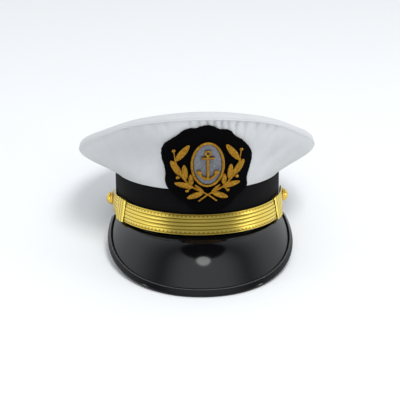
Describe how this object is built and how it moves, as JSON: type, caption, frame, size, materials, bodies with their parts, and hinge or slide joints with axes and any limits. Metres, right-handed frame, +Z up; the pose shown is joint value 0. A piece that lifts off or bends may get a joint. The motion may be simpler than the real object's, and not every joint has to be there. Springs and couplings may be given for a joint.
{
  "type": "peaked officer cap",
  "caption": "Peaked cap with a flared white crown, a black band, a glossy black peak, a gold chin strap with buttons and an embroidered badge on felt.",
  "frame": {"origin": "centre of the bounding box on the surface that the cap rests on", "axes": "+Z up from the resting surface, the peak and the badge face -Y, +X is to the right seen from the front"},
  "size_m": [0.2476, 0.2986, 0.1644],
  "materials": {
    "white_cloth": "smooth white twill",
    "black_ribbon": "ribbed black ribbon",
    "black_patent": "high gloss black",
    "gold_lace": "woven metallic lace",
    "gilt_metal": "polished gilt",
    "black_felt": "matt black felt",
    "silver_thread": "silver grey embroidery",
    "gold_bullion": "padded gold wire embroidery"
  },
  "bodies": {
    "root": {"crown_side": "white_cloth", "crown_top": "white_cloth", "rim_welt": "white_cloth", "band": "black_ribbon", "peak": "black_patent", "peak_binding": "black_patent", "chin_strap": "gold_lace", "slider_left": "gold_lace", "slider_right": "gold_lace", "button_left": "gilt_metal", "button_right": "gilt_metal", "badge_backing": "black_felt", "badge_field": "silver_thread", "badge_ring": "gold_bullion", "badge_wreath": "gold_bullion", "badge_anchor": "gold_bullion"}
  },
  "joints": []
}
